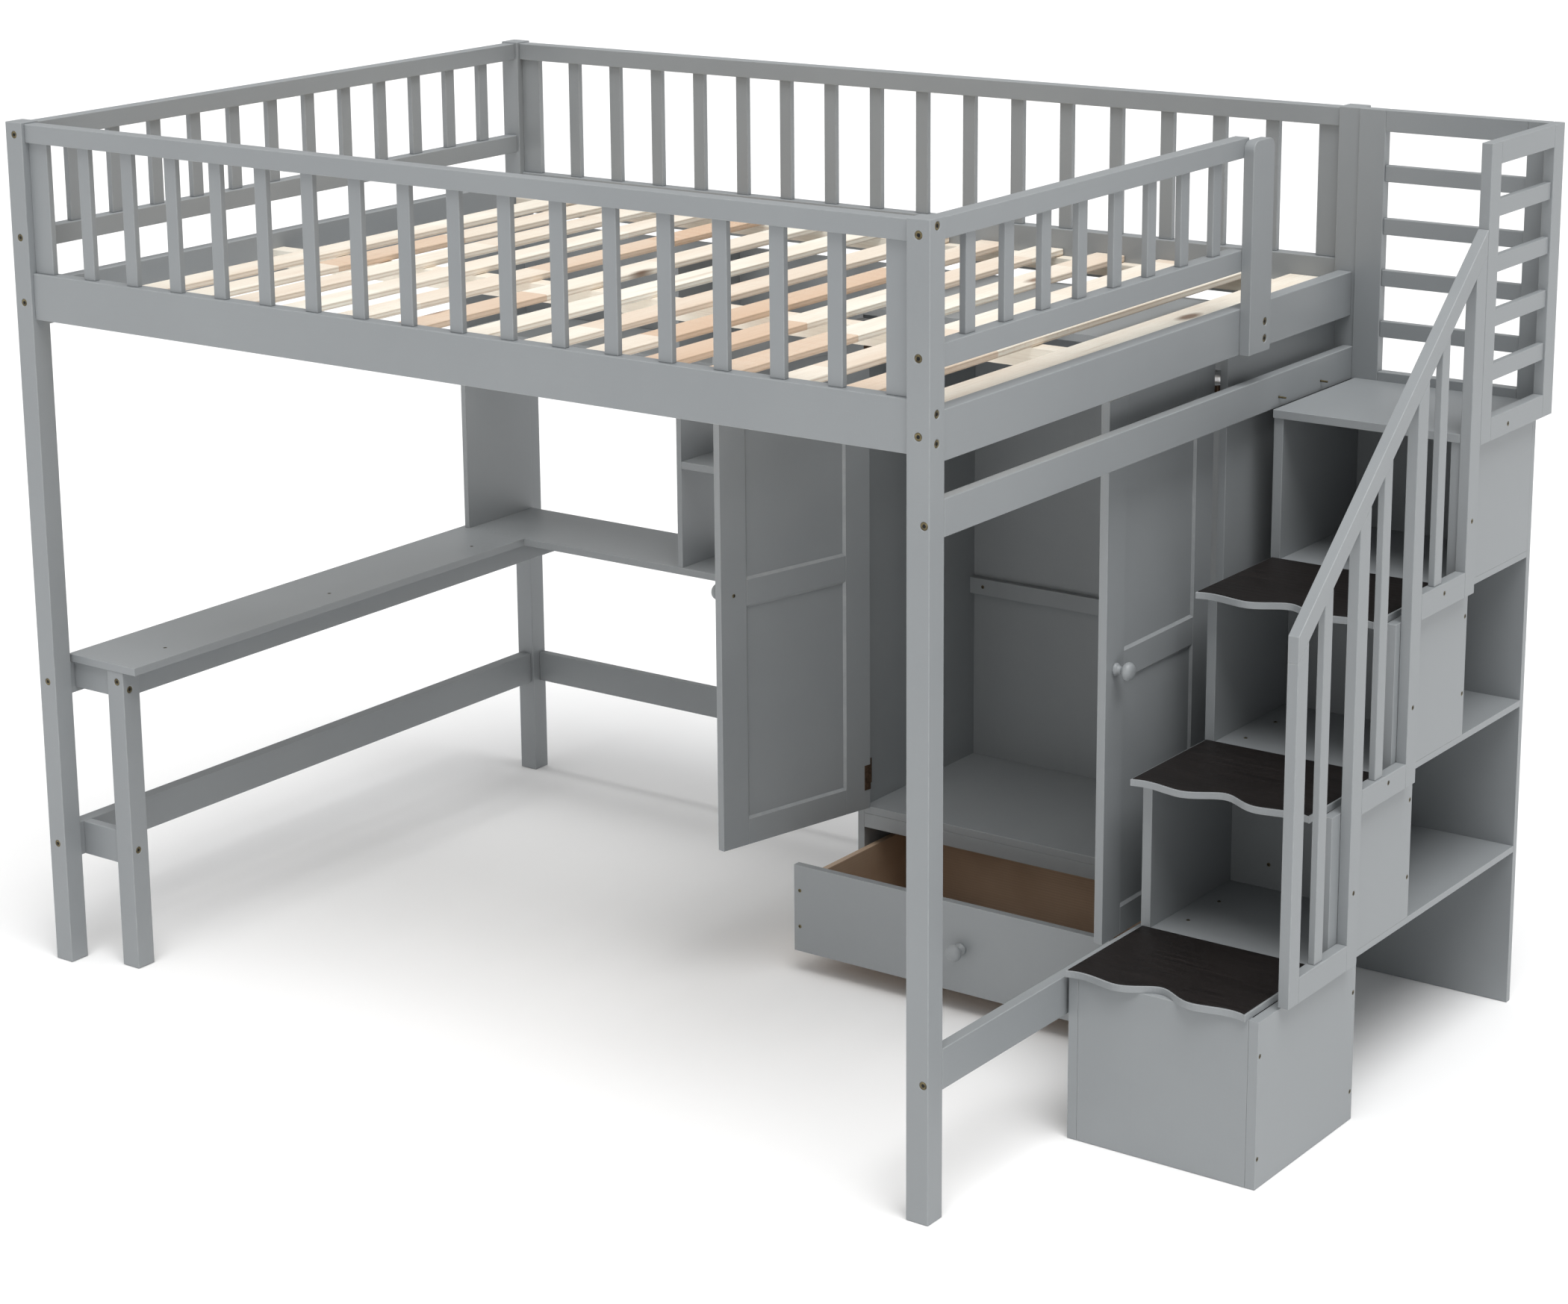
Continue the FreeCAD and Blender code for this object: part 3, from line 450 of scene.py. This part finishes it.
def slats(material):
    """Fourteen rounded, slightly crowned slats instead of the plain CAD boxes."""
    dice = random.Random(4)
    for number, (low, high, _) in enumerate(loose_parts("bed_slats"), 1):
        size = high - low
        centre = (low + high) / 2
        mesh = bpy.data.meshes.new(f"slat_{number:02d}")
        work = bmesh.new()
        bmesh.ops.create_grid(work, x_segments=6, y_segments=40, size=0.5)
        bmesh.ops.scale(work, vec=(size.x, size.y, 1), verts=work.verts)
        top = list(work.verts)
        extruded = bmesh.ops.extrude_face_region(work, geom=work.faces[:])
        lowered = [v for v in extruded["geom"] if isinstance(v, bmesh.types.BMVert)]
        bmesh.ops.translate(work, vec=(0, 0, size.z / 2 - SLAT_TOP_MARGIN), verts=top)
        bmesh.ops.translate(work, vec=(0, 0, -size.z / 2 + SLAT_CROWN), verts=lowered)
        bmesh.ops.recalc_face_normals(work, faces=work.faces)
        lean = dice.uniform(-1, 1)
        for v in work.verts:
            share = v.co.y / (size.y / 2)
            v.co.z -= SLAT_CROWN * (0.5 + 0.5 * lean) * (1 - share * share)
        sharp = [e for e in work.edges if e.calc_face_angle(0) > math.radians(50)]
        bmesh.ops.bevel(work, geom=sharp, offset=SLAT_ROUNDING, segments=3, profile=0.5, affect="EDGES",
                        clamp_overlap=True)
        work.to_mesh(mesh)
        work.free()
        tint = mesh.attributes.new("tint", "FLOAT", "POINT")
        tint.data.foreach_set("value", [dice.random()] * len(mesh.vertices))
        own_grain = Vector((dice.uniform(2, 9), dice.uniform(2, 9), 0))
        mesh.transform(Matrix.Translation(own_grain))
        obj = shown(mesh.name, mesh, "bed_frame", material)
        obj.location = centre - own_grain
        if number == 1:
            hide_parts("bed_slats")


def joint_of(body):
    """The joint that moves a body."""
    return next(joint for joint in frame["joints"] if joint["child"] == body)


def turn_of(body):
    """Matrix that swings a closed left or right door to its rest position, from the door's joint."""
    pin = Vector(joint_of(body)["pos_m"])
    swing = Matrix.Rotation(math.radians(DOOR_OPEN[body]), 4, "Z")
    return Matrix.Translation(pin) @ swing


def door_side(body):
    """+1 where the door runs towards +X from its pin when closed, -1 where it runs the other way."""
    return 1 if body == "left_door" else -1


def lathe(name, profile, steps=40):
    """Round mesh from (radius, height) points, smoothed between them, along -Y."""
    mesh = bpy.data.meshes.new(name)
    work = bmesh.new()
    points = smooth_profile(profile)
    rings = []
    for radius, out in points[:-1]:
        ring = []
        for i in range(steps):
            angle = 2 * math.pi * i / steps
            ring.append(work.verts.new((radius * math.cos(angle), -out, radius * math.sin(angle))))
        rings.append(ring)
    tip = work.verts.new((0, -points[-1][1], 0))
    for low, high in zip(rings, rings[1:]):
        for i in range(steps):
            work.faces.new((low[i], low[(i + 1) % steps], high[(i + 1) % steps], high[i]))
    for i in range(steps):
        work.faces.new((rings[-1][i], rings[-1][(i + 1) % steps], tip))
    work.faces.new(rings[0])
    bmesh.ops.recalc_face_normals(work, faces=work.faces)
    for face in work.faces:
        face.smooth = len(face.verts) < 5
    work.to_mesh(mesh)
    work.free()
    return mesh


def smooth_profile(profile, parts=4):
    """Catmull-Rom points between the given ones."""
    padded = [profile[0], *profile, profile[-1]]
    points = []
    for a, b, c, d in zip(padded, padded[1:], padded[2:], padded[3:]):
        for step in range(parts):
            t = step / parts
            points.append(tuple(
                0.5 * (2 * b[i] + (c[i] - a[i]) * t + (2 * a[i] - 5 * b[i] + 4 * c[i] - d[i]) * t * t
                       + (3 * b[i] - a[i] - 3 * c[i] + d[i]) * t * t * t) for i in range(2)))
    points.append(profile[-1])
    return [(max(radius, 0.0), out) for radius, out in points]


def knobs(material):
    """Smooth turned knobs on both doors and the drawer."""
    for body in ("left_door", "right_door"):
        mesh = lathe(body + "_turned_knob", KNOB_PROFILE)
        across = door_side(body) * (DOOR_SIDE_GAP + DOOR_WIDTH - DOOR_KNOB_INSET)
        place = Matrix.Translation((across, HINGE_FORWARD, DOOR_KNOB_Z - joint_of(body)["pos_m"][2]))
        mesh.transform(turn_of(body) @ place)
        obj = shown(mesh.name, mesh, body, material)
        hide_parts(body + "_knob")
    low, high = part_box("drawer_knob")
    mesh = lathe("drawer_turned_knob", KNOB_PROFILE)
    mesh.transform(Matrix.Translation(((low.x + high.x) / 2, high.y, (low.z + high.z) / 2)))
    obj = shown(mesh.name, mesh, "drawer", material)
    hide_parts("drawer_knob")


def moulding_mesh(name, x, z, face_y, out):
    """Sloped strip round a recessed panel: from the frame's inner edge down to the panel."""
    mesh = bpy.data.meshes.new(name)
    work = bmesh.new()
    inner_x = (x[0] + MOULDING, x[1] - MOULDING)
    inner_z = (z[0] + MOULDING, z[1] - MOULDING)
    depth = (DOOR_THICK - DOOR_PANEL_THICK) / 2
    outer = [(x[0], z[0]), (x[1], z[0]), (x[1], z[1]), (x[0], z[1])]
    inner = [(inner_x[0], inner_z[0]), (inner_x[1], inner_z[0]),
             (inner_x[1], inner_z[1]), (inner_x[0], inner_z[1])]
    top_y = face_y - out * MOULDING_TOP
    low_y = face_y - out * (depth - MOULDING_GAP)
    top = [work.verts.new((px, top_y, pz)) for px, pz in outer]
    low = [work.verts.new((px, low_y, pz)) for px, pz in inner]
    base = [work.verts.new((px, low_y, pz)) for px, pz in outer]
    for i in range(4):
        j = (i + 1) % 4
        work.faces.new((top[i], top[j], low[j], low[i]))
        work.faces.new((low[i], low[j], base[j], base[i]))
        work.faces.new((base[i], base[j], top[j], top[i]))
    bmesh.ops.recalc_face_normals(work, faces=work.faces)
    work.to_mesh(mesh)
    work.free()
    return mesh


def mouldings(material):
    """Bevelled strips inside both panels of each door, on both faces."""
    for body in ("left_door", "right_door"):
        side = door_side(body)
        floor_z = joint_of(body)["pos_m"][2]
        near = side * (DOOR_SIDE_GAP + DOOR_STILE)
        far = side * (DOOR_SIDE_GAP + DOOR_WIDTH - DOOR_STILE)
        x = (min(near, far), max(near, far))
        rows = {"lower": (DOOR_Z[0] + DOOR_RAIL, DOOR_MID_RAIL[0]),
                "upper": (DOOR_MID_RAIL[1], DOOR_Z[1] - DOOR_RAIL)}
        for row, z in rows.items():
            z = (z[0] - floor_z, z[1] - floor_z)
            for face, face_y, out in (("outer", HINGE_FORWARD, -1), ("inner", HINGE_FORWARD + DOOR_THICK, 1)):
                mesh = moulding_mesh(f"{body}_{row}_{face}_moulding", x, z, face_y, out)
                mesh.transform(turn_of(body))
                shown(mesh.name, mesh, body, material)


def hinge_wings(material):
    """Brown hinge plates that show on the inner face of each door."""
    for body in ("left_door", "right_door"):
        side = door_side(body)
        floor_z = joint_of(body)["pos_m"][2]
        face = HINGE_FORWARD + DOOR_THICK
        work = bmesh.new()
        for height in HINGE_HEIGHTS:
            near = side * DOOR_SIDE_GAP
            far = side * (DOOR_SIDE_GAP + HINGE_WING)
            size = Vector((HINGE_WING, HINGE_THICK, 2 * HINGE_HALF))
            middle = Vector(((near + far) / 2, face + HINGE_THICK / 2, height - floor_z))
            placed = Matrix.Translation(middle) @ Matrix.Diagonal((*size, 1))
            bmesh.ops.create_cube(work, size=1.0, matrix=placed)
        bmesh.ops.bevel(work, geom=work.edges[:], offset=HINGE_ROUNDING, segments=2, affect="EDGES",
                        profile=0.5)
        mesh = bpy.data.meshes.new(body + "_hinge_wings")
        work.to_mesh(mesh)
        work.free()
        mesh.transform(turn_of(body))
        shown(mesh.name, mesh, body, material)


def screw_heads(name, body, places, metal_look, recess_shade_look):
    """Low domed screw heads at (point, normal) places, each with a near-black cross of painted shade for its
    recess.
    """
    head = lathe(name, SCREW_PROFILE, 20)
    cross = bpy.data.meshes.new(name + "_cross")
    heads = bmesh.new()
    crosses = bmesh.new()
    for point, normal in places:
        turn = Matrix.Translation(point) @ normal.to_track_quat("-Y", "Z").to_matrix().to_4x4()
        copy = head.copy()
        copy.transform(turn)
        heads.from_mesh(copy)
        bpy.data.meshes.remove(copy)
        add_prism(crosses, point + normal * SCREW_PROFILE[-1][1], normal, star(SCREW_CROSS, 12))
    heads.to_mesh(head)
    crosses.to_mesh(cross)
    heads.free()
    crosses.free()
    shown(head.name, head, body, metal_look)
    shown(cross.name, cross, body, recess_shade_look)


def small_screws(metal_look, recess_shade_look):
    """Screws on the drawer front, inside the doors, on the wardrobe's inner rail and in the stair cubbies."""
    forward = Vector((0, -1, 0))
    low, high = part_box("drawer_front")
    inset_x, inset_z = DRAWER_SCREW_INSET
    front = [(Vector((x, low.y, z)), forward)
             for x in (low.x + inset_x, high.x - inset_x) for z in (low.z + inset_z, high.z - inset_z)]
    screw_heads("drawer_front_screws", "drawer", front, metal_look, recess_shade_look)
    for body in ("left_door", "right_door"):
        turn = turn_of(body)
        across = door_side(body) * (DOOR_SIDE_GAP + DOOR_WIDTH - DOOR_KNOB_INSET)
        inside = Vector((across, HINGE_FORWARD + DOOR_THICK, DOOR_KNOB_Z - joint_of(body)["pos_m"][2]))
        facing = turn.to_3x3() @ Vector((0, 1, 0))
        screw_heads(body + "_knob_screw", body, [(turn @ inside, facing)], metal_look, recess_shade_look)
    low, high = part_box("wardrobe_back_rail")
    rail = [(Vector((x, low.y, (low.z + high.z) / 2)), forward)
            for x in (low.x + RAIL_SCREW_INSET, high.x - RAIL_SCREW_INSET)]
    screw_heads("inner_rail_screws", "bed_frame", rail, metal_look, recess_shade_look)
    screw_heads("cubby_screws", "bed_frame", cubby_screw_places(), metal_look, recess_shade_look)


def cubby_screw_places():
    """Two screws in the floor of each closed stair cubby and one in the board behind it."""
    partitions = sorted(loose_parts("stair_partitions"), key=lambda part: part[0].z)
    across, up = CUBBY_BACK_SCREW
    places = []
    for low, _, _ in partitions[-2:]:
        for forward in CUBBY_FLOOR_SCREWS:
            places.append((Vector((low.x + CUBBY_SCREW_INSET, low.y - forward, low.z)), Vector((0, 0, 1))))
        places.append((Vector((low.x + across, low.y, low.z + up)), Vector((0, -1, 0))))
    return places


def head_ends(node):
    """Centre of each fastener's head face and the direction it faces."""
    ends = []
    for low, high, points in loose_parts(node):
        size = high - low
        axis = max(range(3), key=lambda i: size[i])
        others = [i for i in range(3) if i != axis]
        wide = [p for p in points if abs(p[others[0]] - (low + high)[others[0]] / 2) > size[others[0]] * 0.45]
        head = sum(p[axis] for p in wide) / len(wide)
        centre = (low + high) / 2
        facing = 1 if head > centre[axis] else -1
        place = Vector(centre)
        place[axis] = high[axis] if facing > 0 else low[axis]
        normal = Vector((0, 0, 0))
        normal[axis] = facing
        ends.append((place, normal))
    return ends


def recesses(name, node, radius, corners, material):
    """Tool recesses on the heads of a node's fasteners, drawn as low near-black prisms of painted shade: 6
    corners for a hexagon, 12 for a cross.
    """
    mesh = bpy.data.meshes.new(name)
    work = bmesh.new()
    for place, normal in head_ends(node):
        add_prism(work, place, normal, star(radius, corners))
    work.to_mesh(mesh)
    work.free()
    shown(name, mesh, "bed_frame", material)


def add_prism(work, place, normal, outline):
    """Very low prism with the given outline, standing on a face."""
    turn = normal.to_track_quat("Z", "Y").to_matrix().to_4x4()
    lift = normal * RECESS_LIFT
    rise = normal * RECESS_TOP
    low = [work.verts.new(place + lift + turn @ Vector((x, y, 0))) for x, y in outline]
    high = [work.verts.new(place + rise + turn @ Vector((x * RECESS_TAPER, y * RECESS_TAPER, 0)))
            for x, y in outline]
    for i in range(len(outline)):
        j = (i + 1) % len(outline)
        work.faces.new((low[i], low[j], high[j], high[i]))
    work.faces.new(high)
    work.faces.new(low[::-1])


def star(radius, corners):
    """Outline of a hexagon for 6 corners, or of a cross for 12."""
    if corners == 6:
        return [(radius * math.cos(math.pi * i / 3), radius * math.sin(math.pi * i / 3)) for i in range(6)]
    arm = radius * CROSS_ARM
    quarter = [(radius, -arm), (radius, arm), (arm, arm)]
    points = []
    for turn in range(4):
        c = math.cos(turn * math.pi / 2)
        s = math.sin(turn * math.pi / 2)
        points += [(x * c - y * s, x * s + y * c) for x, y in quarter]
    return points


# ---------------------------------------------------------------- stage

def stage():
    """Pale floor, a sky that is brightest at the horizon, and two soft suns."""
    mesh = bpy.data.meshes.new("studio_floor")
    half = FLOOR_SIZE / 2
    corners = [(-half, -half, 0), (half, -half, 0), (half, half, 0), (-half, half, 0)]
    mesh.from_pydata(corners, [], [(0, 1, 2, 3)])
    floor = bpy.data.objects.new("studio_floor", mesh)
    floor.location.z = -FLOOR_DROP
    mesh.materials.append(floor_material())
    bpy.context.scene.collection.objects.link(floor)

    world = bpy.data.worlds.new("studio")
    bpy.context.scene.world = world
    world.use_nodes = True
    nodes = world.node_tree.nodes
    links = world.node_tree.links
    height = nodes.new("ShaderNodeSeparateXYZ")
    links.new(nodes.new("ShaderNodeTexCoord").outputs["Generated"], height.inputs["Vector"])
    fade = nodes.new("ShaderNodeMapRange")
    links.new(height.outputs["Z"], fade.inputs["Value"])
    fade.inputs["From Min"].default_value = 0.0
    fade.inputs["From Max"].default_value = SKY_FADE
    fade.inputs["To Min"].default_value = SKY_LOW
    fade.inputs["To Max"].default_value = SKY_HIGH
    background = nodes["Background"]
    background.inputs["Color"].default_value = (1.0, 1.0, 1.0, 1.0)
    links.new(fade.outputs["Result"], background.inputs["Strength"])

    for name, (azimuth, elevation), power, spread in SUNS:
        light = bpy.data.lights.new(name, "SUN")
        light.energy = power
        light.angle = math.radians(spread)
        obj = bpy.data.objects.new(name, light)
        obj.rotation_euler = (math.radians(90 - elevation), 0, math.radians(azimuth))
        bpy.context.scene.collection.objects.link(obj)


def camera():
    """The camera of the main view."""
    data = bpy.data.cameras.new("camera")
    data.sensor_width = CAMERA_SENSOR
    data.lens = CAMERA_LENS
    data.shift_x, data.shift_y = CAMERA_SHIFT
    data.clip_start, data.clip_end = CAMERA_CLIP
    obj = bpy.data.objects.new("camera", data)
    obj.location = CAMERA_PLACE
    obj.rotation_euler = Euler([math.radians(a) for a in CAMERA_TURN], "XYZ")
    bpy.context.scene.collection.objects.link(obj)
    bpy.context.scene.camera = obj


def dress():
    """Materials for every CAD node, and the finer pieces."""
    edges = paint_edge()
    boards = paint("painted_board", 2, 0.05)
    for kind, axis, nodes in PAINTED_WOOD:
        material = paint("painted_wood_" + kind, axis, 0.22)
        for node in nodes:
            rounded(node, EDGE_ROUNDING, material, edges)
    for node in PAINTED_BOARDS:
        rounded(node, BOARD_ROUNDING, boards, edges)
    brown = plywood()
    for node in PLYWOOD_NODES:
        rounded(node, BOARD_ROUNDING, brown, brown)
    supports = pine("bare_pine_supports", 0)
    rounded("slat_supports", EDGE_ROUNDING, supports, supports)
    slats(pine("bare_pine_slats", 1))
    cover = tread_cover()
    rounded("tread_covers", COVER_ROUNDING, cover, cover)
    plain("hanging_rod", metal("rod_steel", STEEL, STEEL_DARK, 0.28, 1.0))
    bronze = metal("bronze_hinge", BRONZE, BRONZE_DARK, 0.42)
    for node in ("hinge_frame_leaves", "left_door_hinge_leaves", "right_door_hinge_leaves"):
        plain(node, bronze)
    brass = metal("aged_brass", BRASS, BRASS_DARK, 0.40)
    plain("frame_bolts", brass)
    plain("panel_screws", brass)
    # near-black material of painted shade for the tool recesses on bolt and screw heads
    socket = metal("painted_recess_shade", SOCKET, SOCKET_DARK, 0.7, 0.2)
    recesses("bolt_sockets", "frame_bolts", BOLT_SOCKET, 6, socket)
    recesses("screw_crosses", "panel_screws", PANEL_SCREW_CROSS, 12, socket)
    small_screws(brass, socket)
    hinge_wings(bronze)
    knobs(paint("painted_knobs", 2, 0.03))
    # the mouldings take the lighter edge paint, which paints a highlight along the panel bevels
    mouldings(edges)


dress()
stage()
camera()
bpy.context.scene.view_settings.view_transform = "Standard"
